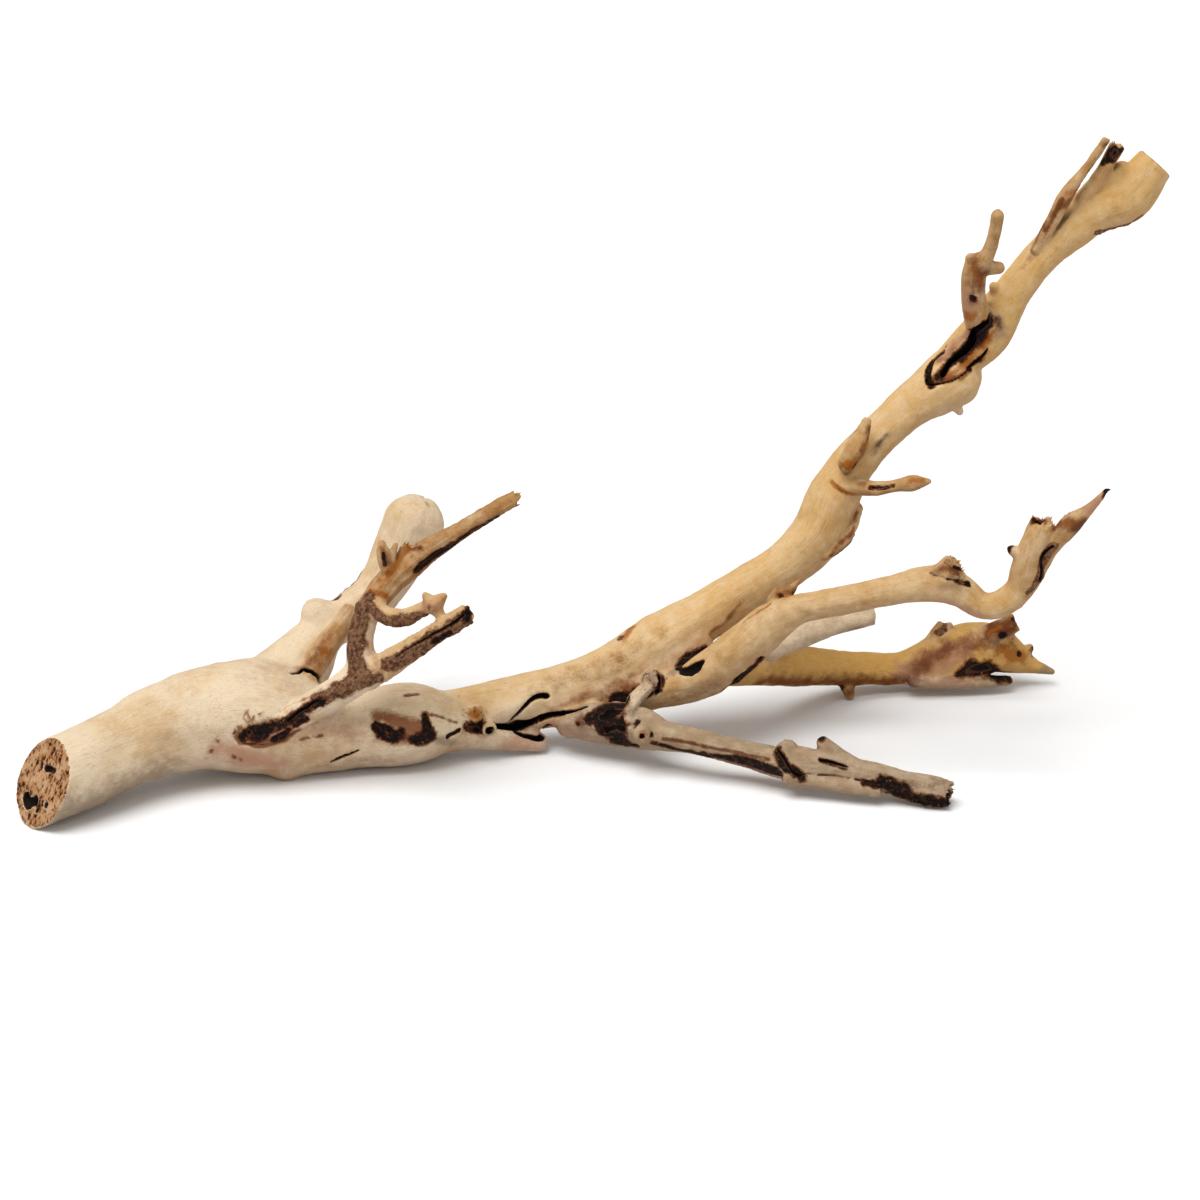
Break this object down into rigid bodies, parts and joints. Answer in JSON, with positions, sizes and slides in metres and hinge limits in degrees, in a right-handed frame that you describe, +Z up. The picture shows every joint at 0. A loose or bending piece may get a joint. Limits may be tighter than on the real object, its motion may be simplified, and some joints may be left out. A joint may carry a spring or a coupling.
{
  "type": "driftwood branch",
  "caption": "Sandblasted, weathered vine branch that lies on its stem, with a tall forked limb, low spreading limbs, broken stubs and two sawn ends.",
  "frame": {"origin": "centre of the footprint, on the surface the branch lies on", "axes": "+X along the branch from the thick sawn end towards the limb tips, +Y away from the front limb, +Z up"},
  "size_m": [0.5971, 0.2003, 0.3193],
  "materials": {
    "bare_wood": "sandblasted bare wood, cream to amber, with dark bark left in the hollows and pitted end grain"
  },
  "bodies": {
    "root": {"driftwood": "bare_wood"}
  },
  "joints": []
}
